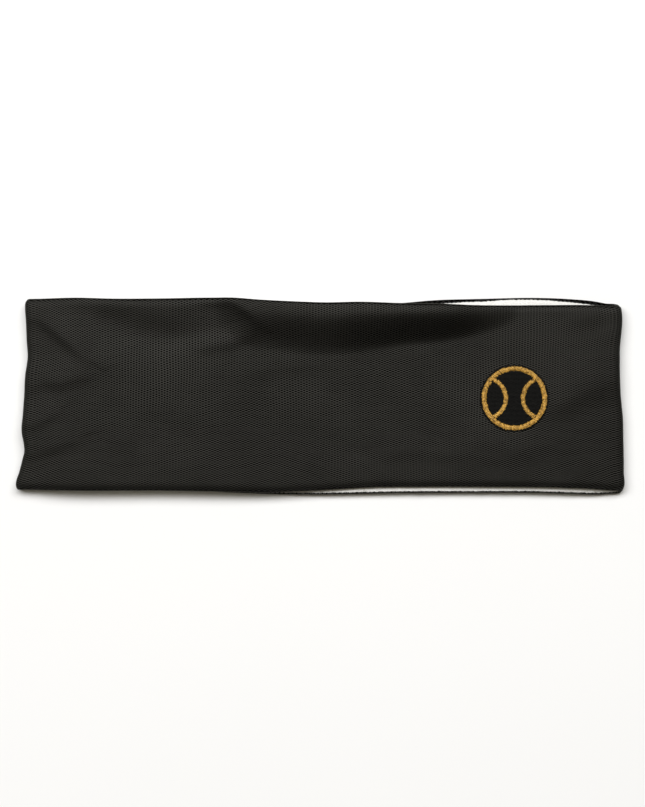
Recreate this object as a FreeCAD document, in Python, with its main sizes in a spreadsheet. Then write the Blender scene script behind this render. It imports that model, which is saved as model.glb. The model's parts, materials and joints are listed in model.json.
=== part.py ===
"""A knitted sports headband lying flat: a lined loop with turned edges, a join seam and an emblem.

The frame: X runs along the flattened loop, Y across the band, Z up from the face that it rests on.
The back layer rests on Z = 0, the front layer lies over it, and a fold joins them at each end.
Every piece of the loop is drawn about the loop's middle plane and then lifted to its height.
"""
import FreeCAD, Part
import math
import os

import Sketcher

SIZES = {
    "loop_length": 240.0,          # the loop lying flat, end to end
    "band_width": 77.0,            # across the band
    "shell_thickness": 0.7,        # the knitted outer cloth
    "lining_thickness": 1.2,       # the brushed inner cloth
    "layer_gap": 0.1,              # loft between shell and lining
    "loop_gap": 5.0,               # free height between the two linings
    "rim_width": 1.0,              # the shell turned in along each long edge
    "channel_width": 0.6,          # between the rim and the lining, where the edge seam runs
    "thread_diameter": 0.4,
    "fold_gap": 0.1,               # between a layer and the fold at its end
    "join_gap": 0.5,               # between the two ends of the sewn strip
    "allowance_width": 5.0,        # the strip's ends turned in beside the join
    "allowance_thickness": 0.5,
    "emblem_x": 76.5,
    "emblem_y": -0.8,
    "ring_diameter": 26.0,
    "ring_width": 2.0,
    "ring_height": 0.45,
    "ground_height": 0.2,
    "ball_seam_radius": 9.0,       # a ball seam is an arc of this radius
    "ball_seam_reach": 11.6,       # from the emblem's centre to the arc's centre
    "ball_seam_width": 1.6,
    "stitch_clearance": 0.05,      # between stitches and what they lie on
    "backing_diameter": 30.0,
    "backing_thickness": 0.25,
    "bobbin_thickness": 0.2,
}
BACK, FRONT = -1, 1                # which side of the loop's middle plane a layer lies on
LEFT, RIGHT = -1, 1                # which end of the loop
TOP, BOTTOM = 1, -1                # which long edge

doc = FreeCAD.newDocument("sports_headband")
sheet = doc.addObject("Spreadsheet::Sheet", "Sizes")
for row, (alias, value) in enumerate(SIZES.items(), start=1):
    sheet.set(f"A{row}", alias)
    sheet.set(f"B{row}", str(value))
    sheet.setAlias(f"B{row}", alias)
doc.recompute()

# Derived sizes, as expressions over the sheet. Heights are counted from the loop's middle plane.
HALF_WIDTH = "(Sizes.band_width / 2)"
INNER = "(Sizes.loop_gap / 2)"
LAYER = "(Sizes.shell_thickness + Sizes.layer_gap + Sizes.lining_thickness)"
OUTER = f"({INNER} + {LAYER})"
SHELL_INSIDE = f"({OUTER} - Sizes.shell_thickness)"
LINING_OUTSIDE = f"({SHELL_INSIDE} - Sizes.layer_gap)"
RIM_INSIDE = f"({HALF_WIDTH} - Sizes.rim_width)"
LINING_EDGE = f"({RIM_INSIDE} - Sizes.channel_width)"
CHANNEL_MIDDLE = f"({RIM_INSIDE} - Sizes.channel_width / 2)"
THREAD_HEIGHT = f"({INNER} + Sizes.thread_diameter / 2)"
FOLD_X = f"(Sizes.loop_length / 2 - {OUTER})"
PANEL_END = f"({FOLD_X} - Sizes.fold_gap)"
JOIN_X = "(-Sizes.emblem_x)"       # round the loop, the join is opposite the emblem
JOIN_LEFT = f"({JOIN_X} - Sizes.join_gap / 2)"
JOIN_RIGHT = f"({JOIN_X} + Sizes.join_gap / 2)"
UNDER_SHELL = f"({SHELL_INSIDE} - Sizes.stitch_clearance - Sizes.backing_thickness)"
UNDER_BACKING = f"({UNDER_SHELL} - Sizes.stitch_clearance - Sizes.bobbin_thickness)"
ON_SHELL = f"({OUTER} + Sizes.stitch_clearance)"
ON_GROUND = f"({ON_SHELL} + Sizes.ground_height + Sizes.stitch_clearance)"
GROUND_DIAMETER = "(Sizes.ring_diameter - 2 * Sizes.ring_width - 2 * Sizes.stitch_clearance)"

pieces = []


def place(piece, at_x="0", at_y="0", height="0"):
    """Binds a piece's place; height is counted from the loop's middle plane."""
    piece.setExpression("Placement.Base.x", at_x)
    piece.setExpression("Placement.Base.y", at_y)
    piece.setExpression("Placement.Base.z", f"{OUTER} + {height}")
    return piece


def new_body(label):
    body = doc.addObject("PartDesign::Body", label)
    body.Label = label
    pieces.append(body)
    return body


def new_sketch(body, role, offset):
    """A sketch on one of the body's own origin planes, moved along the plane's normal by offset."""
    sketch = body.newObject("Sketcher::SketchObject", body.Name + "_sketch")
    plane = next(f for f in body.Origin.OriginFeatures if f.Role == role)
    sketch.AttachmentSupport = [(plane, "")]
    sketch.MapMode = "FlatFace"
    sketch.setExpression("AttachmentOffset.Base.z", offset)
    return sketch


def lock(sketch, geometry, vertex, across, up):
    """Holds a vertex at expressions counted from the sketch's origin."""
    for kind, expression in (("DistanceX", across), ("DistanceY", up)):
        index = sketch.addConstraint(Sketcher.Constraint(kind, -1, 1, geometry, vertex, 1.0))
        sketch.setExpression(f"Constraints[{index}]", expression)


def polygon(body, corners, role="YZ_Plane", offset="0"):
    """A closed outline of straight lines through corners, each a pair of expressions."""
    sketch = new_sketch(body, role, offset)
    count = len(corners)
    turns = [2 * math.pi * i / count for i in range(count)]
    rough = [FreeCAD.Vector(math.cos(turn), math.sin(turn), 0) for turn in turns]
    for i in range(count):
        sketch.addGeometry(Part.LineSegment(rough[i], rough[(i + 1) % count]), False)
    for i in range(count):
        sketch.addConstraint(Sketcher.Constraint("Coincident", i, 2, (i + 1) % count, 1))
    for i, (across, up) in enumerate(corners):
        lock(sketch, i, 1, across, up)
    return sketch


def circles(body, radii, role="XY_Plane", offset="0", centre=("0", "0")):
    """Circles about one centre."""
    sketch = new_sketch(body, role, offset)
    for i, radius in enumerate(radii):
        circle = Part.Circle(FreeCAD.Vector(0, 0, 0), FreeCAD.Vector(0, 0, 1), i + 1.0)
        sketch.addGeometry(circle, False)
        lock(sketch, i, 3, *centre)
        index = sketch.addConstraint(Sketcher.Constraint("Radius", i, i + 1.0))
        sketch.setExpression(f"Constraints[{index}]", radius)
    return sketch


def pad(body, sketch, length):
    feature = body.newObject("PartDesign::Pad", body.Name + "_pad")
    feature.Profile = sketch
    feature.setExpression("Length", length)
    return feature


def half_turn(body, sketch, end):
    """Turns a back layer's section about the loop's middle line, round one end, to meet the front."""
    feature = body.newObject("PartDesign::Revolution", body.Name + "_turn")
    feature.Profile = sketch
    feature.ReferenceAxis = (sketch, ["H_Axis"])
    feature.Angle = 180.0
    feature.Reversed = end == RIGHT
    return feature


def box_section(edge, low, high, side):
    """A rectangle across the band between two heights, on one side of the middle plane."""
    return [
        (f"-{edge}", f"{side} * {high}"),
        (edge, f"{side} * {high}"),
        (edge, f"{side} * {low}"),
        (f"-{edge}", f"{side} * {low}"),
    ]


def shell_section(side):
    """The outer cloth with both long edges turned in beside the lining."""
    outer, inside, inner = (f"{side} * {height}" for height in (OUTER, SHELL_INSIDE, INNER))
    return [
        (f"-{HALF_WIDTH}", outer),
        (HALF_WIDTH, outer),
        (HALF_WIDTH, inner),
        (RIM_INSIDE, inner),
        (RIM_INSIDE, inside),
        (f"-{RIM_INSIDE}", inside),
        (f"-{RIM_INSIDE}", inner),
        (f"-{HALF_WIDTH}", inner),
    ]


def lining_section(side):
    return box_section(LINING_EDGE, INNER, LINING_OUTSIDE, side)


def thread_centre(edge, side):
    """Where the edge seam runs in the section, in the channel beside one rim."""
    return (f"{edge} * {CHANNEL_MIDDLE}", f"{side} * {THREAD_HEIGHT}")


def section_sketch(body, section):
    """A cloth's section is a list of corners, and a thread's is its centre."""
    if isinstance(section, list):
        return polygon(body, section)
    return circles(body, ["Sizes.thread_diameter / 2"], "YZ_Plane", "0", section)


def straight(label, section, start, end):
    """A straight run of a section along X."""
    body = new_body(label)
    pad(body, section_sketch(body, section), f"{end} - {start}")
    return place(body, start)


def fold(label, section, end):
    """The same section turned round one end of the loop."""
    body = new_body(label)
    half_turn(body, section_sketch(body, section), end)
    return place(body, f"{end} * {FOLD_X}")


def make_shell():
    """The knitted strip: front layer, two folds, and the back layer in two lengths at the join."""
    straight("shell_front_panel", shell_section(FRONT), f"-{PANEL_END}", PANEL_END)
    fold("shell_left_fold", shell_section(BACK), LEFT)
    fold("shell_right_fold", shell_section(BACK), RIGHT)
    add_allowance(
        straight("shell_back_short_panel", shell_section(BACK), f"-{PANEL_END}", JOIN_LEFT),
        f"{JOIN_LEFT} + {PANEL_END} - Sizes.allowance_width",
    )
    add_allowance(
        straight("shell_back_long_panel", shell_section(BACK), JOIN_RIGHT, PANEL_END), "0"
    )


def add_allowance(body, offset):
    """The strip's end turned in at the join, pressed flat on the shell's inner face."""
    low = f"({SHELL_INSIDE} - Sizes.allowance_thickness)"
    section = box_section(LINING_EDGE, low, SHELL_INSIDE, BACK)
    pad(body, polygon(body, section, "YZ_Plane", offset), "Sizes.allowance_width")


def make_lining():
    """The brushed inner strip, thinner where it covers the join's allowances and the emblem's back."""
    front = straight("lining_front_panel", lining_section(FRONT), f"-{PANEL_END}", PANEL_END)
    recess_for_backing(front)
    fold("lining_left_fold", lining_section(BACK), LEFT)
    fold("lining_right_fold", lining_section(BACK), RIGHT)
    allowance = "(Sizes.allowance_width + Sizes.layer_gap)"
    thin_top = f"({LINING_OUTSIDE} - Sizes.allowance_thickness)"
    thin = box_section(LINING_EDGE, INNER, thin_top, BACK)
    short = straight(
        "lining_back_short_panel", lining_section(BACK), f"-{PANEL_END}", f"({JOIN_LEFT} - {allowance})"
    )
    pad(short, polygon(short, thin), f"{JOIN_LEFT} + {PANEL_END}")
    long = straight(
        "lining_back_long_panel", lining_section(BACK), f"({JOIN_RIGHT} + {allowance})", PANEL_END
    )
    pad(long, polygon(long, thin, "YZ_Plane", f"-{allowance}"), allowance)


def recess_for_backing(body):
    """A round recess in the front lining's hidden face, for the emblem's backing and bobbin thread."""
    doc.recompute()
    before = body.Shape.Volume
    centre = (f"Sizes.emblem_x + {PANEL_END}", "Sizes.emblem_y")
    radius = "Sizes.backing_diameter / 2 + Sizes.layer_gap"
    sketch = circles(body, [radius], "XY_Plane", LINING_OUTSIDE, centre)
    pocket = body.newObject("PartDesign::Pocket", body.Name + "_recess")
    pocket.Profile = sketch
    pocket.setExpression("Length", f"{LINING_OUTSIDE} - {UNDER_BACKING} + Sizes.stitch_clearance")
    doc.recompute()
    if body.Shape.Volume >= before:
        raise RuntimeError("the recess cut nothing from " + body.Label)


def make_edge_seams():
    """One thread in the channel beside each rim, all round the loop."""
    for edge, name in ((TOP, "edge_seam_top_"), (BOTTOM, "edge_seam_bottom_")):
        straight(name + "front", thread_centre(edge, FRONT), f"-{PANEL_END}", PANEL_END)
        straight(name + "back", thread_centre(edge, BACK), f"-{PANEL_END}", PANEL_END)
        fold(name + "left_fold", thread_centre(edge, BACK), LEFT)
        fold(name + "right_fold", thread_centre(edge, BACK), RIGHT)


def make_join_seams():
    """The threads that close the shell's and the lining's ends, across the band at the join."""
    shell_height = f"-({OUTER} - Sizes.shell_thickness / 2)"
    lining_height = f"-({INNER} + Sizes.thread_diameter / 2 + Sizes.stitch_clearance)"
    for label, height in (("shell_join_seam", shell_height), ("lining_join_seam", lining_height)):
        thread = doc.addObject("Part::Cylinder", label)
        thread.Label = label
        thread.setExpression("Radius", "Sizes.thread_diameter / 2")
        thread.setExpression("Height", f"2 * {LINING_EDGE}")
        thread.Placement.Rotation = FreeCAD.Rotation(FreeCAD.Vector(1, 0, 0), -90)
        place(thread, JOIN_X, f"-{LINING_EDGE}", height)
        pieces.append(thread)


def disc(label, radii, thickness, height):
    """A round layer of the emblem, or a ring where there are two radii."""
    body = new_body(label)
    pad(body, circles(body, radii), thickness)
    return place(body, "Sizes.emblem_x", "Sizes.emblem_y", height)


def upright(name, radius, shift):
    """A cylinder as tall as the ball seams, standing on the emblem's ground."""
    cylinder = doc.addObject("Part::Cylinder", name)
    cylinder.setExpression("Radius", radius)
    cylinder.setExpression("Height", "Sizes.ground_height")
    return place(cylinder, f"Sizes.emblem_x + {shift}", "Sizes.emblem_y", ON_GROUND)


def make_ball_seam(label, end):
    """One curved seam of the stitched ball: an arc about a centre beyond the emblem's side."""
    shift = f"{end} * Sizes.ball_seam_reach"
    arc = doc.addObject("Part::Cut", label + "_arc")
    arc.Base = upright(label + "_outside", "Sizes.ball_seam_radius", shift)
    arc.Tool = upright(label + "_inside", "Sizes.ball_seam_radius - Sizes.ball_seam_width", shift)
    seam = doc.addObject("Part::Common", label)
    seam.Label = label
    seam.Base = arc
    seam.Tool = upright(label + "_limit", f"{GROUND_DIAMETER} / 2", "0")
    pieces.append(seam)


def make_emblem():
    """A stitched ball in a ring, with the backing and bobbin thread behind the shell."""
    outside = "Sizes.ring_diameter / 2"
    inside = f"({outside} - Sizes.ring_width)"
    disc("emblem_ground", [f"{GROUND_DIAMETER} / 2"], "Sizes.ground_height", ON_SHELL)
    disc("emblem_ring", [outside, inside], "Sizes.ring_height", ON_SHELL)
    make_ball_seam("emblem_ball_seam_left", LEFT)
    make_ball_seam("emblem_ball_seam_right", RIGHT)
    disc("emblem_backing", ["Sizes.backing_diameter / 2"], "Sizes.backing_thickness", UNDER_SHELL)
    disc("emblem_bobbin_thread", [outside, inside], "Sizes.bobbin_thickness", UNDER_BACKING)


def check_document():
    """Stops before anything is written if an object failed or a piece isn't a sound solid."""
    for item in doc.Objects:
        if "Invalid" in item.State or "Error" in item.State:
            raise RuntimeError(item.Label + " failed to recompute")
    for piece in pieces:
        shape = piece.Shape
        if shape.isNull() or not shape.isValid() or not shape.Solids:
            raise RuntimeError(piece.Label + " is not a sound solid")


make_shell()
make_lining()
make_edge_seams()
make_join_seams()
make_emblem()
doc.recompute()
check_document()

os.makedirs("parts", exist_ok=True)
for piece in pieces:
    piece.Shape.exportStep(f"parts/{piece.Label}.step")
    box = piece.Shape.BoundBox
    print(
        f"{piece.Label:26s} {piece.Shape.Volume:9.1f} mm3  solids {len(piece.Shape.Solids)}"
        f"  x {box.XMin:8.2f} {box.XMax:8.2f}  y {box.YMin:7.2f} {box.YMax:7.2f}"
        f"  z {box.ZMin:6.2f} {box.ZMax:6.2f}"
    )
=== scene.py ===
"""A sports headband lying flat, dressed over its CAD frame.

Every cloth piece is first drawn in the flat loop's own shape, where the layers are parallel, and is
then draped: one function moves all of them, so that layers, threads and emblem stay together.
Lengths are in metres. MM turns a named size in millimetres into metres. Lists of knots, wrinkles
and stitch shapes are in millimetres throughout.
"""
import json
import math

import bpy
import numpy as np
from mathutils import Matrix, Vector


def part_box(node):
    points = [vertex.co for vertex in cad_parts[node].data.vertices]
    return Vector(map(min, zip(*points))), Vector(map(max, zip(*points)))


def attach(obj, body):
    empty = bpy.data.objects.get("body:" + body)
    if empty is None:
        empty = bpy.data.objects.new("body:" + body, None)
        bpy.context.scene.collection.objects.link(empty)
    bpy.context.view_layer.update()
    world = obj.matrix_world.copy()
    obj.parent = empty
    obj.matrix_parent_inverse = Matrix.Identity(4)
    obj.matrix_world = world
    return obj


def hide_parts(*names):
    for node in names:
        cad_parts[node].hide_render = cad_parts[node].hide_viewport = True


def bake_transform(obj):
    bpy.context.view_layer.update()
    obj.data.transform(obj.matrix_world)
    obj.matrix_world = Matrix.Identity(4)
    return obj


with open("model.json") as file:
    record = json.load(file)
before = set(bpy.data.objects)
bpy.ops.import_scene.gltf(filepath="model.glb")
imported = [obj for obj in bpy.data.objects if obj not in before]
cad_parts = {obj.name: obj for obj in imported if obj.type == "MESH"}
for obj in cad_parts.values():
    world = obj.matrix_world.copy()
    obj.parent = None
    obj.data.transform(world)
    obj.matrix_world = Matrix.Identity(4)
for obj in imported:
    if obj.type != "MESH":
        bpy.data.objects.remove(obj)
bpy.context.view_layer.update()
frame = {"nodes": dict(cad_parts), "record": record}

MM = 0.001
TAU = 2 * math.pi
SEED = 7                           # all that is random starts from this seed or one just above it

# ---- the camera: straight above, as wide as the loop and a narrow margin ----------------------
CAMERA_HEIGHT = 1000 * MM
VIEW_WIDTH = 255.5 * MM
VIEW_CENTRE = (1.0 * MM, -2.8 * MM)
SENSOR_WIDTH = 36.0                # Blender's own unit for a sensor, and its usual width

camera_data = bpy.data.cameras.new("camera")
camera_data.sensor_fit = "HORIZONTAL"
camera_data.sensor_width = SENSOR_WIDTH
camera_data.lens = SENSOR_WIDTH * CAMERA_HEIGHT / VIEW_WIDTH
camera = bpy.data.objects.new("camera", camera_data)
camera.location = (*VIEW_CENTRE, CAMERA_HEIGHT)
bpy.context.scene.collection.objects.link(camera)
bpy.context.scene.camera = camera

# ---- the loop's shape, from the frame ---------------------------------------------------------
def radius_of(node):
    """The radius of a round CAD node, seen from above."""
    low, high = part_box(node)
    return (high.x - low.x) / 2


fold_low, fold_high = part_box("shell_right_fold")
FOLD_X = fold_low.x                # where the flat layers end and the folds begin
HALF_WIDTH = fold_high.y
OUTER = (fold_high.z - fold_low.z) / 2                               # the folds' outer radius
MIDDLE = (fold_high.z + fold_low.z) / 2                              # the loop's middle plane
SURFACE = MIDDLE + OUTER                                             # the front layer's outer face
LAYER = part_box("shell_back_long_panel")[1].z - fold_low.z            # shell and lining together
LINING_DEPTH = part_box("lining_back_long_panel")[0].z - fold_low.z    # from outside to the lining
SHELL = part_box("shell_front_panel")[1].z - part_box("emblem_backing")[1].z    # the shell alone
JOIN_X = sum(corner.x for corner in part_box("shell_join_seam")) / 2
ring_low, ring_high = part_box("emblem_ring")
EMBLEM_X = (ring_low.x + ring_high.x) / 2
EMBLEM_Y = (ring_low.y + ring_high.y) / 2
RING_RADIUS = radius_of("emblem_ring")
GROUND_RADIUS = radius_of("emblem_ground")
BACKING_RADIUS = radius_of("emblem_backing")
FRONT_NODES = set(frame["record"]["behaviour"]["bodies"]["front_half"])

RIM = 0.48 * MM                    # the shell's rim beside the lining
ROLL = 0.38 * MM                   # how far in the shell's rolled edge reaches
PAST_EDGE = 1.1                    # the share of the way to the edge at which shapes stop growing
TINY = 1e-9                        # keeps a division or an angle from meeting zero


# ---- curves and unevenness --------------------------------------------------------------------
def smoothstep(share):
    """From 0 to 1, level at both ends and held beyond them."""
    share = np.clip(share, 0, 1)
    return share * share * (3 - 2 * share)


def spline(at, knots):
    """A smooth curve through (place, value) knots, in millimetres, and level past both ends."""
    places, values = (np.array(column, float) for column in zip(*knots))
    slopes = np.gradient(values, places)
    at = np.clip(np.asarray(at, float) / MM, places[0], places[-1])
    run = np.clip(np.searchsorted(places, at) - 1, 0, len(places) - 2)
    span = places[run + 1] - places[run]
    gone = (at - places[run]) / span
    left = 1 - gone
    start = (values[run] * (1 + 2 * gone) + slopes[run] * span * gone) * left**2
    end = (values[run + 1] * (3 - 2 * gone) - slopes[run + 1] * span * left) * gone**2
    return (start + end) * MM


NOISE_WAVES = 9
NOISE_LENGTHS = (0.7, 1.6)         # the shortest and the longest wave, as shares of the size


def noise(x, y, size, seed):
    """Smooth seeded unevenness, about -1 to 1, with waves about size long."""
    random = np.random.default_rng(seed)
    total = np.zeros(np.shape(x))
    for _ in range(NOISE_WAVES):
        turn, phase = random.uniform(0, TAU, 2)
        wave = TAU / (size * random.uniform(*NOISE_LENGTHS))
        total += np.sin(wave * (x * math.cos(turn) + y * math.sin(turn)) + phase)
    return total / math.sqrt(NOISE_WAVES)


# ---- the drape: where the cloth really lies ---------------------------------------------------
# Knots of the layers' edges: (place along the band, shift of the edge outwards).
FRONT_TOP = [
    (-120, -0.1), (-97, 0.4), (-80, 0.0), (-62, 0.1), (-42, 0.4), (-34, 0.3), (-25, -0.4),
    (-10, -1.2), (2, -1.6), (16, -1.4), (32, -1.95), (46, -2.1), (60, -2.6), (88, -2.5),
    (108, -2.5), (120, -3.0),
]
FRONT_BOTTOM = [
    (-120, -1.7), (-97, -1.3), (-60, -1.3), (-42, -1.0), (-20, -0.6), (-6, -1.1), (6, -1.8),
    (20, -2.6), (38, -2.8), (70, -2.8), (95, -2.5), (110, -1.8), (120, -0.8),
]
BACK_TOP = [
    (-120, -0.1), (-60, -0.8), (0, -2.2), (30, -1.7), (46, -0.4), (64, 0.1), (86, 0.5),
    (100, 0.0), (110, -0.8), (120, -2.7),
]
BACK_BOTTOM = [
    (-120, -1.6), (-60, -1.9), (-36, -0.5), (-20, 0.1), (0, 0.3), (16, 0.0), (32, -0.3),
    (56, -0.4), (86, -0.35), (100, 0.05), (110, 0.3), (120, -0.3),
]
# Knots of the back layer's upper rim: (place along the band, how much wider it is rolled).
TOP_RIM = [
    (36, 0.9), (50, 0.8), (57, 0.55), (64, 0.4), (71, 0.12), (86, 0.12), (91, 0.25), (95, 0.45),
    (100, 0.7), (105, 0.9), (110, 1.1), (114, 1.0), (119, 0),
]
RIM_START = 20 * MM                # where along the band that rim begins to widen
RIM_EASE = 16 * MM                 # and over what length
# Knots of the loop's ends: (place across the band, shift of the end inwards).
LEFT_END = [
    (-38.5, 0.5), (-37.3, 0.0), (-35, 0.0), (-31, 1.2), (-26, 2.4), (-22, 3.3), (-19.5, 3.1),
    (-14, 2.2), (-7, 2.7), (0, 3.2), (8, 3.6), (16, 4.6), (22, 4.2), (30, 3.9), (36, 3.6),
    (37.2, 3.7), (38.5, 4.6),
]
RIGHT_END = [
    (-38.5, 0.9), (-37.2, 0.2), (-30, 0.0), (-16, 0.2), (-8, 0.4), (0, 1.2), (18, 1.6), (36, 0.9),
    (37.2, 1.1), (38.5, 2.2),
]
END_REACH = 30 * MM                # how far in from the ends their shift is felt
SQUARER = 0.7                      # how much squarer than round the folds are pressed


def along_path(x, y, path):
    """The signed distance to a path of straight runs, and the share of its length gone by.

    path is points in millimetres. The distance is positive on the left of the path's direction.
    """
    points = np.array(path, float) * MM
    lengths = np.linalg.norm(np.diff(points, axis=0), axis=1)
    gone = np.concatenate([[0], np.cumsum(lengths)])
    best = np.full(np.shape(x), np.inf)
    side = np.zeros(np.shape(x))
    share = np.zeros(np.shape(x))
    for start, end, length, before in zip(points, points[1:], lengths, gone):
        direction = (end - start) / length
        ahead = (x - start[0]) * direction[0] + (y - start[1]) * direction[1]
        ahead = np.clip(ahead, 0, length)
        beside_x = x - start[0] - ahead * direction[0]
        beside_y = y - start[1] - ahead * direction[1]
        far = np.hypot(beside_x, beside_y)
        near = far < best
        best = np.where(near, far, best)
        side = np.where(near, np.sign(direction[0] * beside_y - direction[1] * beside_x), side)
        share = np.where(near, (before + ahead) / gone[-1], share)
    return best * side, share


WRINKLE_TIP = 0.08                 # the share of a half wave that each tip of a wrinkle leaves out
WRINKLE_FULLNESS = 0.8             # below 1, a wrinkle keeps its height for longer


def ridge(x, y, path, height, left, right):
    """A rounded wrinkle along path, with its own reach on each side, fading at both ends."""
    far, share = along_path(x, y, path)
    reach = np.where(far > 0, left, right) * MM
    wave = WRINKLE_TIP + (1 - 2 * WRINKLE_TIP) * share
    fade = np.sin(np.pi * np.clip(wave, 0, 1)) ** WRINKLE_FULLNESS
    return height * MM * fade * np.exp(-((far / reach) ** 2))


# The front layer's wrinkles: path, height, and reach to the left and to the right of the path.
WRINKLES = {
    "long_hollow": ([(-112, 39.5), (-86, 29.3), (-52, 19)], -1.3, 7.0, 8.5),
    "end_pleat": ([(-119, 34), (-108, 26.5), (-92, 15)], 0.9, 9.0, 2.8),
    "upper_pinch": ([(-120, 3), (-112, 6.5), (-104, 6), (-88, 10)], 0.7, 7.0, 3.2),
    "middle_pinch": ([(-120, -12.5), (-113, -10), (-105, -5.5)], 0.7, 7.0, 2.6),
    "lower_pinch": ([(-120, -24), (-112, -21), (-96, -16.5)], 0.7, 8.0, 3.0),
    "hook_upper": ([(-48, 38.5), (-34, 37.5), (-27, 33), (-22, 28)], 1.05, 5.0, 2.6),
    "hook_lower": ([(-26.5, 28), (-29, 23.5), (-36, 21), (-48, 19.5)], 0.55, 2.6, 4.0),
    "beside_hook": ([(-66, 23), (-52, 24.5), (-40, 26.5)], -0.8, 8.0, 5.0),
    "under_lip": ([(-34, 9), (-16, 12), (2, 14)], 0.35, 8.0, 4.0),
    "right_wrinkle": ([(88, -5), (104, 2.5), (121, 8)], 1.1, 15.0, 5.5),
    "under_emblem": ([(58, -18), (78, -21), (100, -16)], 0.35, 9.0, 5.0),
    "low_wave": ([(24, -21), (50, -23), (80, -26)], 0.3, 9.0, 4.0),
    "corner": ([(100, 34), (112, 34)], 0.4, 7.0, 4.0),
}
# The lip is a stretch of the front layer's upper edge that stands up, so that the bank before it
# lies in shade. Its foot is knots of (place along the band, place across it where the rise begins),
# and its height is knots of (place along the band, the rise that LIP_SHARE and LIP_RAMP share out).
LIP_FOOT = [
    (-40, 26), (-28, 19), (-16, 17.5), (0, 16), (14, 17), (32, 20), (52, 22.5), (66, 26), (80, 31),
]
LIP_HEIGHT = [
    (-42, 0), (-28, 4.2), (-14, 6.2), (0, 6.8), (14, 8.6), (32, 10.0), (50, 9.0), (63, 4.2), (78, 0),
]
LIP_SHARE = 0.80                   # the bank levels off at this share of the way to the edge
LIP_RAMP = 0.45                    # the part of the rise that is a plain ramp
LIP_EASE = 0.12                    # how slowly the ramp begins, as a share of the way
LIP_TURN = 0.55                    # how much of the ramp is lost again at the edge
LIP_TURN_POWER = 5                 # the higher, the nearer to the edge it is lost
LIP_BEGUN = 0.25                   # from this share of the way on, the cloth counts as on the lip
LIP_LEAST = 2 * MM                 # where the lip is at least this high
EDGE_DROOP = 0.8 * MM              # how far the front layer's edges hang, except on the lip
EDGE_REACH = 3.5 * MM
EDGE_ROUND = 0.5 * MM              # and how far all of them turn down right at their rims
ROUND_REACH = 1.8 * MM
# Knots: (place along the band, how much lower than in the flat loop the front layer rests).
SAG = [
    (-116, 2.8), (-104, 1.0), (-80, 0.6), (-40, 1.0), (0, 2.4), (40, 2.8), (80, 2.2), (104, 2.3),
    (116, 2.9),
]
BOTTOM_SAG = 0.5 * MM              # and how much lower still at the lower edge
# Knots: (place along the band, how far the back layer's lower edge curls up).
CURL = [(-50, 0), (-20, 0.6), (10, 1.1), (60, 1.2), (95, 1.2), (116, 0.2)]
CURL_REACH = 5.5 * MM
# The front layer's own unevenness: height, size across the band, and the squeeze of places along
# it, which makes its waves longer that way.
UNEVENNESS = [(0.08, 22, 0.6), (0.018, 8, 0.7)]


def near_edge(distance, reach, most=1.0):
    """From 0 at reach inside the edge, curving up to 1 at the edge; distance is from the middle."""
    return np.clip((distance - HALF_WIDTH + reach) / reach, 0, most) ** 2


def front_height(x, y):
    """How far the front layer lies above its place in the flat loop."""
    height = sum(ridge(x, y, *wrinkle) for wrinkle in WRINKLES.values())
    foot = spline(x, LIP_FOOT)
    rise = np.clip((y - foot) / (HALF_WIDTH - foot), 0, PAST_EDGE)
    ramp = rise**2 / (rise + LIP_EASE) - LIP_TURN * rise**LIP_TURN_POWER
    bank = (1 - LIP_RAMP) * smoothstep(rise / LIP_SHARE) + LIP_RAMP * ramp
    lip = spline(x, LIP_HEIGHT)
    height = height + lip * bank
    on_lip = smoothstep(rise / LIP_BEGUN) * smoothstep(lip / LIP_LEAST)
    droop = EDGE_DROOP * np.where(y < 0, 1.0, 1 - on_lip)
    height = height - droop * near_edge(np.abs(y), EDGE_REACH)
    height = height - EDGE_ROUND * near_edge(np.abs(y), ROUND_REACH)
    height = height - spline(x, SAG) - BOTTOM_SAG * (0.5 - 0.5 * y / HALF_WIDTH)
    for seed, (amount, size, squeeze) in enumerate(UNEVENNESS, SEED):
        height = height + amount * MM * noise(x * squeeze, y, size * MM, seed)
    return height


def back_height(x, y):
    """The back layer lies flat, and its lower edge curls up where it shows."""
    return spline(x, CURL) * near_edge(-y, CURL_REACH, PAST_EDGE)


def edge_shift(x, y, top, bottom):
    """How far the cloth moves across the band, all of it at the edges and none in the middle."""
    share = np.clip(np.abs(y) / HALF_WIDTH, 0, PAST_EDGE) ** 2
    return np.where(y > 0, spline(x, top), -spline(x, bottom)) * share


def drape(points):
    """Moves points of the flat loop to where the cloth lies."""
    x, y, z = np.asarray(points, float).T
    flat_x = np.clip(x, -FOLD_X, FOLD_X)
    turn = np.arctan2(z - MIDDLE, np.abs(x) - FOLD_X + TINY)
    round_end = smoothstep(turn / math.pi + 0.5)
    front = np.where(np.abs(x) > FOLD_X, round_end, (z > MIDDLE).astype(float))
    end = np.where(x < 0, spline(y, LEFT_END), -spline(y, RIGHT_END))
    near_end = smoothstep((np.abs(x) - FOLD_X + END_REACH) / END_REACH)
    past_fold = np.maximum(np.abs(x) - FOLD_X, 0)
    squarer = np.sign(x) * SQUARER * past_fold * (1 - past_fold / OUTER)
    front_y = edge_shift(flat_x, y, FRONT_TOP, FRONT_BOTTOM)
    back_y = edge_shift(flat_x, y, BACK_TOP, BACK_BOTTOM)
    return np.stack(
        [
            x + squarer + end * near_end,
            y + back_y + (front_y - back_y) * front,
            z + front_height(flat_x, y) * front + back_height(flat_x, y) * (1 - front),
        ],
        axis=1,
    )


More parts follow.
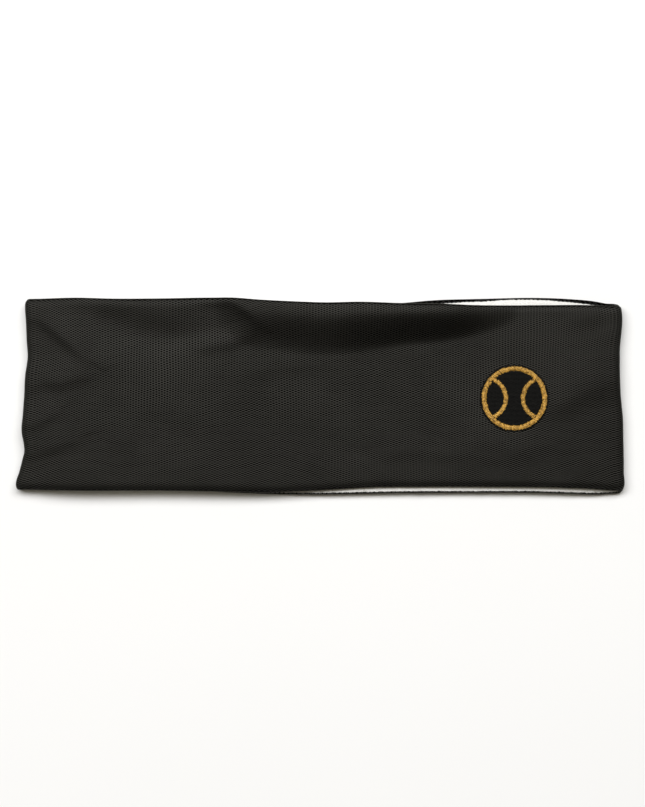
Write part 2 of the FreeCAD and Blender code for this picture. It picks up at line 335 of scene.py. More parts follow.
# ---- drawing on the flat loop -----------------------------------------------------------------
# Places round the loop's outer face, from the join: the long part of the back layer, the right
# fold, the front layer, the left fold, and the short part of the back layer.
HALF_TURN = math.pi * OUTER
RIGHT_FOLD_AT = FOLD_X - JOIN_X
FRONT_AT = RIGHT_FOLD_AT + HALF_TURN
LEFT_FOLD_AT = FRONT_AT + 2 * FOLD_X
BACK_SHORT_AT = LEFT_FOLD_AT + HALF_TURN
GIRTH = 4 * FOLD_X + 2 * HALF_TURN


def on_loop(girth_at, y, depth):
    """Points of the flat loop: girth_at runs round it from the join, depth goes in from outside."""
    at = np.mod(np.asarray(girth_at, float), GIRTH)
    y, depth = np.broadcast_to(y, at.shape), np.broadcast_to(depth, at.shape)
    stretches = [at < RIGHT_FOLD_AT, at < FRONT_AT, at < LEFT_FOLD_AT, at < BACK_SHORT_AT]
    spine = np.select(
        stretches,
        [JOIN_X + at, FOLD_X, FOLD_X - (at - FRONT_AT), -FOLD_X],
        -FOLD_X + (at - BACK_SHORT_AT),
    )
    round_right = (at - RIGHT_FOLD_AT) / HALF_TURN - 0.5
    round_left = (at - LEFT_FOLD_AT) / HALF_TURN + 0.5
    turn = np.select(stretches, [-0.5, round_right, 0.5, round_left], 1.5) * math.pi
    radius = OUTER - depth
    return np.stack([spine + radius * np.cos(turn), y, MIDDLE + radius * np.sin(turn)], axis=-1)


def wider_rim(points):
    """How far in the rim reaches beyond RIM, at points of the flat loop."""
    x, y, z = np.asarray(points).T
    begun = smoothstep((x - RIM_START) / RIM_EASE)
    return spline(x, TOP_RIM) * begun * ((y > 0) & (z < MIDDLE))


def new_piece(name, points, faces, material, smooth=True, uvs=None):
    """A mesh object with its material and, where given, one (along, across) pair per face corner."""
    mesh = bpy.data.meshes.new(name)
    mesh.from_pydata(points.tolist(), [], faces)
    mesh.update()
    if uvs is not None:
        layer = mesh.uv_layers.new(name="cloth")
        layer.data.foreach_set("uv", np.asarray(uvs, np.float32).ravel())
    if smooth:
        mesh.shade_smooth()
    mesh.materials.append(material)
    piece = bpy.data.objects.new(name, mesh)
    bpy.context.scene.collection.objects.link(piece)
    return piece


def settle(piece, node_names):
    """Ties a piece to the frame by its place on the flat loop, and then drapes it.

    The share of each body comes from the flat loop, so a wrinkle that dips stays on its own layer.
    """
    on_front = [name in FRONT_NODES for name in node_names]
    if all(on_front):
        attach(piece, "front_half")
    elif any(on_front):
        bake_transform(piece)
    else:
        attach(piece, "back_half")
    mesh = piece.data
    points = np.zeros(len(mesh.vertices) * 3)
    mesh.vertices.foreach_get("co", points)
    mesh.vertices.foreach_set("co", drape(points.reshape(-1, 3)).ravel())
    mesh.update()
    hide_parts(*node_names)


def nodes_named(*starts):
    """The CAD nodes whose names start with one of the words given."""
    return [name for name in frame["nodes"] if name.startswith(starts)]


def loop_mesh(section, steps):
    """A closed section carried once round the loop. Returns points, faces and cloth coordinates."""
    across, depth = (np.array(column) for column in zip(*section))
    rows, columns = len(steps), len(section)
    points = on_loop(np.repeat(steps, columns), np.tile(across, rows), np.tile(depth, rows))
    row, column = np.meshgrid(np.arange(rows), np.arange(columns), indexing="ij")
    next_row, next_column = (row + 1) % rows, (column + 1) % columns
    faces = np.stack(
        [
            row * columns + column,
            row * columns + next_column,
            next_row * columns + next_column,
            next_row * columns + column,
        ],
        axis=-1,
    ).reshape(-1, 4).tolist()
    walked = np.concatenate([[0], np.cumsum(np.hypot(np.diff(across), np.diff(depth)))])
    ring = walked[-1] + math.hypot(across[0] - across[-1], depth[0] - depth[-1])
    along = np.append(steps, steps[0] + GIRTH)
    around = np.append(walked, ring) + across[0]
    u = np.stack([along[row], along[row], along[row + 1], along[row + 1]], axis=-1)
    v = np.stack([around[column], around[column + 1], around[column + 1], around[column]], axis=-1)
    return points, faces, np.stack([u, v], axis=-1).reshape(-1, 2)


def band_of_faces(ring, next_ring, sides):
    """The faces between two rings of points, each given by its first point."""
    faces = []
    for side in range(sides):
        after = (side + 1) % sides
        faces.append((ring + side, next_ring + side, next_ring + after, ring + after))
    return faces


STEEP = 0.95                       # a thread that climbs more than this counts as upright


def tube(line, radius, sides=6, closed=False):
    """Points and faces of a round thread along a line of points."""
    line = np.asarray(line, float)
    if closed:
        ahead = np.roll(line, -1, 0) - np.roll(line, 1, 0)
    else:
        ahead = np.gradient(line, axis=0)
    ahead /= np.maximum(np.linalg.norm(ahead, axis=1, keepdims=True), TINY)
    upright = np.array([0.0, 0.0, 1.0])
    steep = np.abs(ahead @ upright) > STEEP
    guide = np.where(steep[:, None], np.array([1.0, 0.0, 0.0]), upright)
    first = np.cross(ahead, guide)
    first /= np.linalg.norm(first, axis=1, keepdims=True)
    second = np.cross(first, ahead)
    turns = (TAU * np.arange(sides) / sides)[None, :, None]
    ring = first[:, None] * np.cos(turns) + second[:, None] * np.sin(turns)
    points = (line[:, None] + radius * ring).reshape(-1, 3)
    count = len(line)
    faces = []
    for place in range(count if closed else count - 1):
        faces += band_of_faces(place * sides, (place + 1) % count * sides, sides)
    if not closed:
        faces.append(tuple(range(sides)))
        faces.append(tuple(reversed(range((count - 1) * sides, count * sides))))
    return points, faces


def bundle(strands):
    """Joins several (points, faces) into one mesh's points and faces."""
    points, faces, offset = [], [], 0
    for strand_points, strand_faces in strands:
        points.append(strand_points)
        faces += [tuple(index + offset for index in face) for face in strand_faces]
        offset += len(strand_points)
    return np.concatenate(points), faces


# ---- materials --------------------------------------------------------------------------------
class Nodes:
    """A material's node tree, with short calls for what the materials here share."""

    def __init__(self, name):
        self.material = bpy.data.materials.new(name)
        self.material.use_nodes = True
        self.tree = self.material.node_tree
        self.shader = self.tree.nodes["Principled BSDF"]

    def add(self, kind, **settings):
        node = self.tree.nodes.new("ShaderNode" + kind)
        for key, value in settings.items():
            setattr(node, key, value)
        return node

    def join(self, source, target):
        self.tree.links.new(source, target)

    def feed(self, value, socket):
        """Joins another node's output to a socket, or sets a plain number on it."""
        if hasattr(value, "is_linked"):
            self.join(value, socket)
        else:
            socket.default_value = value

    def math(self, operation, first, second=0.0):
        """A sum or function of numbers or other nodes' outputs."""
        node = self.add("Math", operation=operation)
        self.feed(first, node.inputs[0])
        self.feed(second, node.inputs[1])
        return node.outputs[0]

    def add_up(self, first, *others):
        """The sum of two or more values."""
        for other in others:
            first = self.math("ADD", first, other)
        return first

    def cloth_place(self):
        """The place on the cloth in metres: as a vector, along it, and across it."""
        uv = self.add("UVMap", uv_map="cloth")
        split = self.add("SeparateXYZ")
        self.join(uv.outputs["UV"], split.inputs[0])
        return uv.outputs["UV"], split.outputs["X"], split.outputs["Y"]

    def wave(self, place, length):
        """A cosine along a coordinate in metres, one wave per length."""
        return self.math("COSINE", self.math("MULTIPLY", place, TAU / length))

    def noise(self, place, scale, detail=2.0):
        """Unevenness from 0 to 1, with about scale waves to the metre."""
        node = self.add("TexNoise")
        node.inputs["Scale"].default_value = scale
        node.inputs["Detail"].default_value = detail
        self.join(place, node.inputs["Vector"])
        return node.outputs["Fac"]

    def ramp(self, value, *stops):
        """Colours at places from 0 to 1."""
        node = self.add("ValToRGB")
        elements = node.color_ramp.elements
        for index, (place, colour) in enumerate(stops):
            element = elements[index] if index < 2 else elements.new(place)
            element.position = place
            element.color = (*colour, 1.0)
        self.join(value, node.inputs["Fac"])
        return node.outputs["Color"]

    def range(self, value, low, high):
        """Maps 0 to 1 onto low to high."""
        node = self.add("MapRange")
        node.inputs["To Min"].default_value = low
        node.inputs["To Max"].default_value = high
        self.join(value, node.inputs["Value"])
        return node.outputs["Result"]

    def steep(self, value, start, end):
        """0 up to start and 1 from end on."""
        node = self.add("MapRange")
        node.inputs["From Min"].default_value = start
        node.inputs["From Max"].default_value = end
        self.join(value, node.inputs["Value"])
        return node.outputs["Result"]

    def bump(self, height, distance):
        """Relief of a height from 0 to 1 that stands distance high."""
        node = self.add("Bump")
        node.inputs["Distance"].default_value = distance
        self.join(height, node.inputs["Height"])
        self.join(node.outputs["Normal"], self.shader.inputs["Normal"])

    def finish(self, colour, roughness, specular=0.5, sheen=0.0, sheen_roughness=0.5):
        """Gives the shader its colour and gloss, and returns the material."""
        self.join(colour, self.shader.inputs["Base Color"])
        self.feed(roughness, self.shader.inputs["Roughness"])
        self.shader.inputs["Specular IOR Level"].default_value = specular
        self.shader.inputs["Sheen Weight"].default_value = sheen
        self.shader.inputs["Sheen Roughness"].default_value = sheen_roughness
        return self.material


HOLE_ALONG = 2.20 * MM             # the pinhole knit's repeat along the band, two columns of holes
HOLE_ACROSS = 0.92 * MM            # and its repeat across the band
COLUMN = HOLE_ALONG / 2            # from one column of holes to the next
DRIFT = 1.0 * MM                   # how far the columns wander to either side
DRIFT_ACROSS = 0.6                 # and the share of that by which the rows wander
COLUMNS_ABOVE = 0.10               # how much more the columns show towards the band's upper edge
ROLLED_EDGE_SHADE_WIDTH = 0.5 * MM               # the width of the painted shade before the cloth's rolled edges
# how far that painted shade lowers the knit's tone
ROLLED_EDGE_SHADE = 0.8


def pinhole_knit():
    """Black knit: staggered rows of short raised stitches, with pinholes between them.

    In patches of its own, the columns of holes open up and show as fine dark lines.
    """
    nodes = Nodes("pinhole_knit")
    uv, along, across = nodes.cloth_place()
    drift = nodes.range(nodes.noise(uv, scale=45.0), low=-DRIFT, high=DRIFT)
    along = nodes.add_up(along, drift)
    across = nodes.add_up(across, nodes.math("MULTIPLY", drift, DRIFT_ACROSS))
    stitch = nodes.math("MULTIPLY", nodes.wave(along, HOLE_ALONG), nodes.wave(across, HOLE_ACROSS))
    column = nodes.wave(along, COLUMN)
    yarn = nodes.noise(uv, scale=2600.0, detail=3.0)
    patch = nodes.noise(uv, scale=70.0)
    above = nodes.math("MULTIPLY", across, COLUMNS_ABOVE / HALF_WIDTH)
    opened = nodes.add_up(nodes.noise(uv, scale=22.0, detail=1.0), above)
    opened = nodes.steep(opened, start=0.42, end=0.64)
    raised = nodes.add_up(
        nodes.math("MULTIPLY", stitch, nodes.range(opened, low=1.15, high=0.90)),
        nodes.math("MULTIPLY", column, nodes.range(opened, low=-0.05, high=-0.30)),
        nodes.range(yarn, low=0.05, high=0.91),
    )
    tone = nodes.add_up(raised, nodes.range(patch, low=-0.10, high=0.10))
    # Painted shade: the tone is lowered over the last strip of cloth before its rolled edges, where
    # the edge turns away from the light.
    edge = HALF_WIDTH - ROLL
    rolled = nodes.steep(nodes.math("ABSOLUTE", across), start=edge - ROLLED_EDGE_SHADE_WIDTH, end=edge)
    tone = nodes.math("SUBTRACT", tone, nodes.math("MULTIPLY", rolled, ROLLED_EDGE_SHADE))
    colour = nodes.ramp(
        tone,
        (0.0, (0.0002, 0.0002, 0.0002)),
        (0.5, (0.0025, 0.0023, 0.0018)),
        (1.0, (0.0070, 0.0065, 0.0052)),
    )
    # A pinhole gives back no light at all, as a metal with a black base does. The painted shade
    # along the rolled edges lowers the tone, so it gives back less light too.
    nodes.join(nodes.range(tone, low=1.0, high=-0.1), nodes.shader.inputs["Metallic"])
    nodes.shader.inputs["Specular Tint"].default_value = (1.0, 0.98, 0.90, 1.0)
    nodes.bump(raised, 0.04 * MM)
    return nodes.finish(colour, nodes.range(yarn, low=0.56, high=0.68), specular=0.45)


def brushed_cloth():
    """White lining with a short brushed pile."""
    nodes = Nodes("brushed_cloth")
    uv, _, _ = nodes.cloth_place()
    pile = nodes.noise(uv, scale=1500.0, detail=4.0)
    clumps = nodes.noise(uv, scale=260.0)
    height = nodes.add_up(pile, nodes.math("MULTIPLY", clumps, 0.6))
    colour = nodes.ramp(pile, (0.2, (0.70, 0.69, 0.66)), (0.75, (0.90, 0.895, 0.87)))
    nodes.bump(height, 0.35 * MM)
    return nodes.finish(colour, 0.95, specular=0.2, sheen=0.25, sheen_roughness=0.7)


def thread(name, dark, light, roughness, sheen=0.0, specular=0.5):
    """Twisted thread: fine fibres and a slow change of tone along it."""
    nodes = Nodes(name)
    place = nodes.add("TexCoord").outputs["Object"]
    fibre = nodes.noise(place, scale=3600.0, detail=3.0)
    tone = nodes.add_up(fibre, nodes.range(nodes.noise(place, scale=1300.0), low=-0.45, high=0.40))
    colour = nodes.ramp(tone, (0.25, dark), (0.75, light))
    nodes.bump(fibre, 0.05 * MM)
    return nodes.finish(colour, roughness, specular=specular, sheen=sheen)


def nonwoven():
    """Pressed white stabiliser."""
    nodes = Nodes("nonwoven")
    place = nodes.add("TexCoord").outputs["Object"]
    fibres = nodes.noise(place, scale=900.0, detail=5.0)
    colour = nodes.ramp(fibres, (0.3, (0.62, 0.61, 0.58)), (0.7, (0.84, 0.83, 0.80)))
    nodes.bump(fibres, 0.1 * MM)
    return nodes.finish(colour, 0.9, specular=0.2)


KNIT = pinhole_knit()
BRUSHED = brushed_cloth()
BLACK_THREAD = thread(
    "black_thread", (0.004, 0.0038, 0.0034), (0.016, 0.0155, 0.014), roughness=0.6, sheen=0.05
)
WHITE_THREAD = thread(
    "white_thread", (0.60, 0.59, 0.56), (0.86, 0.85, 0.82), roughness=0.7, sheen=0.1
)
GROUND_THREAD = thread(
    "ground_thread", (0.0015, 0.0015, 0.0013), (0.0080, 0.0076, 0.0066), roughness=0.6, specular=0.12
)
GOLD_THREAD = thread(
    "gold_thread", (0.12, 0.052, 0.006), (0.95, 0.56, 0.115), roughness=0.40, specular=0.30
)
BACKING = nonwoven()


# ---- the cloth --------------------------------------------------------------------------------
CLOTH_STEP = 0.9 * MM              # from one point of the shell to the next
PILE_STEP = 0.8 * MM               # and of the lining, along the band
LINING_STEP = 1.3 * MM             # and of the lining, across it
HIDDEN_STEP = 1.8 * MM             # and of faces that are never seen
JOIN_STEP = 0.35 * MM              # and of both beside the join
JOIN_REACH = 4 * MM
EDGE_TURNS = 7                     # points round the shell's rolled edge
SEAM_GROOVE = 0.35 * MM            # how deep the shell is drawn in at its join
GROOVE_REACH = 0.9 * MM
ALLOWANCE = 5.0 * MM               # the strip's ends, turned in beside the join
ALLOWANCE_RISE = 0.45 * MM
ALLOWANCE_EASE = 2 * MM            # the slope at the end of that rise
LINING_GAP = 0.05 * MM             # between the lining and the shell's rims
LINING_ROUND = 0.35 * MM           # the round of the lining's edges
TUFT_HEIGHT = 0.08 * MM
TUFT_SIZE = 3.0 * MM
PILE_HEIGHT = 0.05 * MM            # the pile's roughness from point to point
RAGGEDNESS = 0.14 * MM             # how unevenly the lining's edges meet the rims
RAGGED_WIDTH = 1.0 * MM            # the width of lining beside a rim that is ragged
YIELD_WIDTH = 1.2 * MM             # and the width that moves in where the upper rim is wider
EMBLEM_ROOM = 0.6 * MM             # how far the lining gives way behind the emblem
EMBLEM_MARGIN = 1.0 * MM


def girth_steps(step):
    """Places round the loop, about step apart, and closer beside the join at 0."""
    beside = np.arange(0, JOIN_REACH, JOIN_STEP)
    between = np.linspace(JOIN_REACH, GIRTH - JOIN_REACH, int((GIRTH - 2 * JOIN_REACH) / step) + 1)
    return np.concatenate([beside, between, GIRTH - beside[:0:-1]])


def spread(first, last, step):
    """Places from first to last, evenly spaced and about step apart."""
    return np.linspace(first, last, max(2, int(round(abs(last - first) / step)) + 1))


def from_join(girth_at):
    """How far from the join a place on the girth is, either way round."""
    return np.minimum(girth_at, GIRTH - girth_at)


def shell_outline():
    """The knit's closed section: outer face, both edges rolled over, rims, and the inner face."""
    radius = LAYER / 2
    inset = HALF_WIDTH - ROLL
    turns = np.linspace(-math.pi / 2, math.pi / 2, EDGE_TURNS)[1:-1]
    outer = [(y, 0.0) for y in spread(-inset, inset, CLOTH_STEP)]
    rolled = [(inset + ROLL * math.cos(a), radius + radius * math.sin(a)) for a in turns]
    rim = [(inset, LAYER), (HALF_WIDTH - RIM, LAYER), (HALF_WIDTH - RIM, SHELL)]
    edge = rolled + rim
    hidden = [(y, SHELL) for y in spread(HALF_WIDTH - RIM, RIM - HALF_WIDTH, HIDDEN_STEP)[1:-1]]
    return outer + edge + hidden + [(-y, depth) for y, depth in reversed(edge)]


def lining_outline():
    """The lining's closed section, filling the shell between its rims."""
    edge = HALF_WIDTH - RIM - LINING_GAP
    shoulder = LAYER - LINING_ROUND
    inner = [(y, LAYER) for y in spread(edge - LINING_ROUND, LINING_ROUND - edge, LINING_STEP)]
    hidden = [(y, LINING_DEPTH) for y in spread(-edge, edge, HIDDEN_STEP)]
    return hidden + [(edge, shoulder)] + inner + [(-edge, shoulder)]


def make_shell():
    """The knit shell, drawn in along its join, with its upper rim wider where TOP_RIM says."""
    steps = girth_steps(CLOTH_STEP)
    outline = shell_outline()
    points, faces, uvs = loop_mesh(outline, steps)
    across, depth = (np.tile(column, len(steps)) for column in zip(*outline))
    beside = from_join(np.repeat(steps, len(outline)))
    outer_face = depth < SHELL / 2
    points[:, 2] += SEAM_GROOVE * np.exp(-((beside / GROOVE_REACH) ** 2)) * outer_face
    on_rim = np.isclose(np.abs(across), HALF_WIDTH - RIM)
    points[:, 1] -= on_rim * wider_rim(points)
    shell = new_piece("outer_shell", points, faces, KNIT, uvs=uvs)
    settle(shell, nodes_named("shell_front", "shell_left", "shell_right", "shell_back"))


def make_lining():
    """The brushed lining: uneven, ragged at its edges, and raised over the turned-in ends."""
    steps = girth_steps(PILE_STEP)
    outline = lining_outline()
    points, faces, uvs = loop_mesh(outline, steps)
    across, depth = (np.tile(column, len(steps)) for column in zip(*outline))
    girth_at = np.repeat(steps, len(outline))
    inside = depth > LINING_DEPTH
    random = np.random.default_rng(SEED)
    tufts = TUFT_HEIGHT * noise(girth_at, across, TUFT_SIZE, SEED + 2)
    tufts = tufts + PILE_HEIGHT * random.standard_normal(len(points))
    past_allowance = (from_join(girth_at) - ALLOWANCE) / ALLOWANCE_EASE
    rise = ALLOWANCE_RISE * (1 - smoothstep(past_allowance + 1))
    ragged = RAGGEDNESS * np.abs(random.standard_normal(len(points)))
    ragged = ragged * (np.abs(across) > HALF_WIDTH - RIM - RAGGED_WIDTH)
    across = across - np.sign(across) * ragged * inside
    moved = on_loop(girth_at, across, depth + np.where(inside, tufts + rise, 0))
    moved[:, 1] -= (across > HALF_WIDTH - RIM - YIELD_WIDTH) * wider_rim(points)
    from_emblem = np.hypot(points[:, 0] - EMBLEM_X, points[:, 1] - EMBLEM_Y)
    at_emblem = from_emblem < BACKING_RADIUS + EMBLEM_MARGIN
    moved[at_emblem & (points[:, 2] > MIDDLE) & ~inside, 2] -= EMBLEM_ROOM
    lining = new_piece("inner_lining", moved, faces, BRUSHED, uvs=uvs)
    nodes = nodes_named("lining_front", "lining_left", "lining_right", "lining_back")
    settle(lining, nodes)


# ---- the seams --------------------------------------------------------------------------------
ZIGZAG = 1.7 * MM                  # the length of one zigzag of the edge seams
# One zigzag: (share of its length, distance in from the band's edge, height over the lining).
ZIGZAG_SHAPE = [
    (0.0, 0.26, -0.20), (0.08, 0.31, 0.0), (0.28, 0.42, 0.05), (0.45, 0.60, 0.02),
    (0.52, 0.66, -0.25), (0.60, 0.60, 0.02), (0.78, 0.42, 0.05), (0.94, 0.31, 0.0),
]
ZIGZAG_WANDER = 0.08               # how unevenly the zigzags are placed, in millimetres
EDGE_THREAD_RADIUS = 0.12 * MM
JOIN_STITCH = 1.8 * MM             # the length of one stitch of the join seams
# One stitch: (share of its length, side of the join, which way the thread bulges).
JOIN_SHAPE = [
    (0.0, -1, -1), (0.12, -0.9, 1), (0.38, 0.9, 1), (0.5, 1, -1), (0.62, 0.9, 1), (0.88, -0.9, 1),
]
JOIN_BULGE = 0.1 * MM
JOIN_MARGIN = 0.6 * MM             # between the seams' ends and the rims
JOIN_THREAD_RADIUS = 0.17 * MM
SHELL_JOIN_DEPTH = 0.35 * MM       # in the groove at the shell's join
SHELL_JOIN_SWING = 0.5 * MM        # how far to each side of the join the thread goes
LINING_JOIN_SWING = 1.3 * MM


def repeated(shape, count):
    """A stitch's shape count times over, as columns. The first holds the stitches gone by."""
    share, *others = (np.tile(column, count) for column in zip(*shape))
    return [np.repeat(np.arange(count), len(shape)) + share, *others]


def make_edge_seam(name, edge):
    """A zigzag thread over the line where the rim meets the lining."""
    count = int(round(GIRTH / ZIGZAG))
    stitches, inset, rise = repeated(ZIGZAG_SHAPE, count)
    random = np.random.default_rng(SEED + 6)
    inset = inset + np.repeat(random.normal(0, ZIGZAG_WANDER, count), len(ZIGZAG_SHAPE))
    girth_at = stitches * GIRTH / count
    line = on_loop(girth_at, edge * (HALF_WIDTH - inset * MM), LAYER + rise * MM)
    line[:, 1] -= wider_rim(line)
    points, faces = tube(line, EDGE_THREAD_RADIUS, closed=True)
    seam = new_piece(name, points, faces, BLACK_THREAD)
    settle(seam, nodes_named(name))


def make_join_seam(name, depth, swing, material):
    """Stitches across the band that close the strip's two ends."""
    reach = HALF_WIDTH - RIM - JOIN_MARGIN
    count = int(round(2 * reach / JOIN_STITCH))
    stitches, side, bulge = repeated(JOIN_SHAPE, count)
    across = -reach + stitches * 2 * reach / count
    line = on_loop(side * swing, across, depth + bulge * JOIN_BULGE)
    points, faces = tube(line, JOIN_THREAD_RADIUS)
    settle(new_piece(name, points, faces, material), [name])


# ---- the emblem -------------------------------------------------------------------------------
STRAND_RADIUS = 0.255 * MM
STRAND_PITCH = 0.50 * MM           # from one strand to the next
STRAND_SIDES = 5
SATIN_STEPS = 9                    # points along one strand
SATIN_DIP = 0.15 * MM              # how deep into the cloth a strand's ends go
SATIN_FULLNESS = 0.55              # below 1, a strand keeps its height nearly to its ends
RING_WIDTH = 2.0 * MM
RING_RISE = 0.36 * MM              # how high the ring's strands stand
RING_RISE_CHANGE = 0.07 * MM
RING_WANDER = 0.12 * MM            # how unevenly their ends lie
GROUND_STITCH = 3.6 * MM           # the length of one stitch of the ground
GROUND_STEP = 0.5 * MM             # from one point of a row to the next
GROUND_STAGGER = 3                 # after so many rows the stitches line up again
GROUND_RISE = 0.14 * MM
GROUND_RISE_CHANGE = 0.01 * MM
GROUND_DIP = 0.16 * MM             # where one stitch ends and the next begins
GROUND_DIP_FROM = 0.75             # that dip's start, as a share from a stitch's middle to its end
GROUND_END = -0.1 * MM             # the height of a row's two ends
BORDER_TUCK = 0.4 * MM             # the black border reaches this far in under the ring
BORDER_REACH = 0.45 * MM           # and this far out past it
BORDER_WANDER = 0.08 * MM
BORDER_RISE = 0.16 * MM
BALL_SEAM_RADIUS = 8.2 * MM
BALL_SEAM_REACH = 11.6 * MM        # from the emblem's middle to the middle of each seam's arc
BALL_SEAM_WIDTH = 1.6 * MM
BALL_SEAM_RISE = 0.44 * MM
BALL_SEAM_RISE_CHANGE = 0.06 * MM
BALL_SEAM_WANDER = 0.10 * MM
BACKING_GAP = 0.05 * MM            # between the shell and the stabiliser
BACKING_THICKNESS = 0.25 * MM
BACKING_TOP = SURFACE - SHELL - BACKING_GAP
BACKING_SIDES = 64
BACKING_RINGS = 12
BOBBIN_RADIUS = 0.1 * MM
BOBBIN_GAP = 0.02 * MM             # between the stabiliser and the bobbin thread
BOBBIN_HEIGHT = BACKING_TOP - BACKING_THICKNESS - BOBBIN_GAP - BOBBIN_RADIUS
BOBBIN_STRANDS = 120


def round_emblem(radius, turn):
    """The place at a radius and a turn about the emblem's middle."""
    return EMBLEM_X + radius * math.cos(turn), EMBLEM_Y + radius * math.sin(turn)


def satin(start, end, height, dip=SATIN_DIP):
    """One strand of satin stitch, arched from start to end over the cloth."""
    share = np.linspace(0, 1, SATIN_STEPS)[:, None]
    flat = np.asarray(start) + (np.asarray(end) - np.asarray(start)) * share
    arch = np.sin(math.pi * share[:, 0]) ** SATIN_FULLNESS * (height + dip) - dip
    return tube(np.column_stack([flat, SURFACE + arch]), STRAND_RADIUS, STRAND_SIDES)


def make_ring():
    """The gold ring, in satin stitch whose strands lean half a strand to each side."""
    random = np.random.default_rng(SEED + 3)
    count = int(TAU * (RING_RADIUS - RING_WIDTH / 2) / STRAND_PITCH)
    strands = []
    for strand in range(count):
        ends = []
        for radius, lean in ((RING_RADIUS - RING_WIDTH, -0.5), (RING_RADIUS, 0.5)):
            out = radius + random.normal(0, RING_WANDER)
            ends.append(round_emblem(out, TAU * (strand + lean) / count))
        strands.append(satin(*ends, random.normal(RING_RISE, RING_RISE_CHANGE)))
    piece = new_piece("emblem_ring", *bundle(strands), GOLD_THREAD)
    settle(piece, ["emblem_ring"])


def make_ground():
    """The black ground: rows of long stitches inside the ring, and a narrow border outside it."""
    random = np.random.default_rng(SEED + 4)
    rows = int(2 * GROUND_RADIUS / STRAND_PITCH)
    strands = []
    for row in range(rows):
        offset = -GROUND_RADIUS + (row + 0.5) * 2 * GROUND_RADIUS / rows
        reach = math.sqrt(GROUND_RADIUS**2 - offset**2)
        along = spread(-reach, reach, GROUND_STEP)
        stitches = along / GROUND_STITCH + (row % GROUND_STAGGER) / GROUND_STAGGER
        from_middle = np.abs(np.mod(stitches, 1) - 0.5) * 2
        dip = GROUND_DIP * smoothstep((from_middle - GROUND_DIP_FROM) / (1 - GROUND_DIP_FROM))
        height = random.normal(GROUND_RISE, GROUND_RISE_CHANGE) - dip
        height[[0, -1]] = GROUND_END
        across = np.full(len(along), EMBLEM_Y + offset)
        line = np.column_stack([EMBLEM_X + along, across, SURFACE + height])
        strands.append(tube(line, STRAND_RADIUS, STRAND_SIDES))
    count = int(TAU * RING_RADIUS / STRAND_PITCH)
    for strand in range(count):
        turn = TAU * strand / count
        outside = RING_RADIUS + random.normal(BORDER_REACH, BORDER_WANDER)
        ends = round_emblem(RING_RADIUS - BORDER_TUCK, turn), round_emblem(outside, turn)
        strands.append(satin(*ends, BORDER_RISE))
    piece = new_piece("emblem_ground", *bundle(strands), GROUND_THREAD)
    settle(piece, ["emblem_ground"])


def make_ball_seam(name, side):
    """One of the ball's two seams: an arc in gold satin stitch that ends at the ring."""
    random = np.random.default_rng(SEED + 5)
    centre = EMBLEM_X + side * BALL_SEAM_REACH
    widest = math.acos(
        (BALL_SEAM_REACH**2 + BALL_SEAM_RADIUS**2 - GROUND_RADIUS**2)
        / (2 * BALL_SEAM_REACH * BALL_SEAM_RADIUS)
    )
    count = int(2 * widest * BALL_SEAM_RADIUS / STRAND_PITCH)
    strands = []
    for strand in range(count):
        middle = -widest + 2 * widest * (strand + 0.5) / count
        ends = []
        for half in (-0.5, 0.5):
            turn = middle + half * STRAND_PITCH / BALL_SEAM_RADIUS
            out = BALL_SEAM_RADIUS + half * BALL_SEAM_WIDTH + random.normal(0, BALL_SEAM_WANDER)
            ends.append((centre - side * out * math.cos(turn), EMBLEM_Y + out * math.sin(turn)))
        rise = random.normal(BALL_SEAM_RISE, BALL_SEAM_RISE_CHANGE)
        strands.append(satin(*ends, rise, dip=0.0))
    settle(new_piece(name, *bundle(strands), GOLD_THREAD), [name])


def make_backing():
    """The stabiliser: a thin round sheet between the shell and the lining."""
    points = []
    for height in (BACKING_TOP, BACKING_TOP - BACKING_THICKNESS):
        points.append((EMBLEM_X, EMBLEM_Y, height))
        for ring in range(1, BACKING_RINGS + 1):
            radius = BACKING_RADIUS * ring / BACKING_RINGS
            for side in range(BACKING_SIDES):
                points.append((*round_emblem(radius, TAU * side / BACKING_SIDES), height))
    first_below = len(points) // 2
    ring_starts = [1 + ring * BACKING_SIDES for ring in range(BACKING_RINGS)]
    above = [(0, 1 + side, 1 + (side + 1) % BACKING_SIDES) for side in range(BACKING_SIDES)]
    for ring, next_ring in zip(ring_starts, ring_starts[1:]):
        above += band_of_faces(ring, next_ring, BACKING_SIDES)
    below = [tuple(first_below + index for index in reversed(face)) for face in above]
    rim = band_of_faces(ring_starts[-1], first_below + ring_starts[-1], BACKING_SIDES)
    backing = new_piece("emblem_backing", np.array(points), above + below + rim, BACKING)
    settle(backing, ["emblem_backing"])


def make_bobbin_thread():
    """The thread that holds the ring's stitches from behind."""
    strands = []
    for strand in range(BOBBIN_STRANDS):
        turn = TAU * strand / BOBBIN_STRANDS
        line = [
            (*round_emblem(radius, turn), BOBBIN_HEIGHT)
            for radius in (RING_RADIUS - RING_WIDTH, RING_RADIUS - RING_WIDTH / 2, RING_RADIUS)
        ]
        strands.append(tube(line, BOBBIN_RADIUS, STRAND_SIDES))
    bobbin = new_piece("emblem_bobbin_thread", *bundle(strands), WHITE_THREAD)
    settle(bobbin, ["emblem_bobbin_thread"])


# ---- floor and light --------------------------------------------------------------------------
FLOOR_REACH = 3.0                  # from the middle to each side


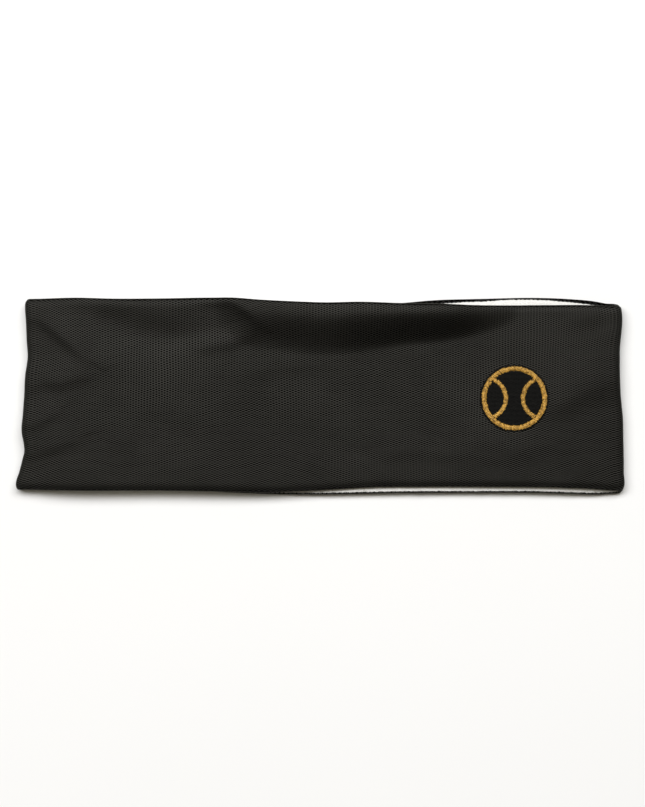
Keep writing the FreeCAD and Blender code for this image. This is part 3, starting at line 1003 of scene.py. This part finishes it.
def make_floor():
    """A plain pale floor under the band."""
    nodes = Nodes("pale_floor")
    place = nodes.add("TexCoord").outputs["Object"]
    cloudy = nodes.noise(place, scale=6.0)
    colour = nodes.ramp(cloudy, (0.0, (0.86, 0.86, 0.86)), (1.0, (0.88, 0.88, 0.88)))
    material = nodes.finish(colour, roughness=0.8, specular=0.2)
    corners = np.array([(-1, -1, 0), (1, -1, 0), (1, 1, 0), (-1, 1, 0)]) * FLOOR_REACH
    new_piece("floor", corners, [(0, 1, 2, 3)], material, smooth=False)


def add_light(name, location, size, power, colour):
    """A rectangular light that shines at the middle of the band."""
    data = bpy.data.lights.new(name, "AREA")
    data.shape = "RECTANGLE"
    data.size, data.size_y = size
    data.energy = power
    data.color = colour
    light = bpy.data.objects.new(name, data)
    light.location = location
    x, y, z = location
    light.rotation_euler = (math.atan2(math.hypot(x, y), z), 0, math.atan2(-y, -x) - math.pi / 2)
    bpy.context.scene.collection.objects.link(light)


def light_stage():
    """A long softbox from above the band's upper edge, and a weak warm panel overhead."""
    add_light(
        "softbox", (-0.25, 1.15, 2.10), size=(4.0, 1.1), power=98.0, colour=(0.985, 0.99, 1.0)
    )
    add_light(
        "overhead", (-0.10, 0.25, 2.30), size=(3.0, 0.8), power=5.0, colour=(1.0, 0.90, 0.66)
    )
    world = bpy.data.worlds.new("studio")
    world.use_nodes = True
    background = world.node_tree.nodes["Background"]
    background.inputs["Color"].default_value = (1.0, 0.92, 0.74, 1.0)
    background.inputs["Strength"].default_value = 0.09
    bpy.context.scene.world = world
    bpy.context.scene.view_settings.view_transform = "Standard"


make_shell()
make_lining()
make_edge_seam("edge_seam_top", 1)
make_edge_seam("edge_seam_bottom", -1)
make_join_seam("shell_join_seam", SHELL_JOIN_DEPTH, SHELL_JOIN_SWING, BLACK_THREAD)
make_join_seam(
    "lining_join_seam", LAYER + ALLOWANCE_RISE, LINING_JOIN_SWING, WHITE_THREAD
)
make_ring()
make_ground()
make_ball_seam("emblem_ball_seam_left", -1)
make_ball_seam("emblem_ball_seam_right", 1)
make_backing()
make_bobbin_thread()
make_floor()
light_stage()
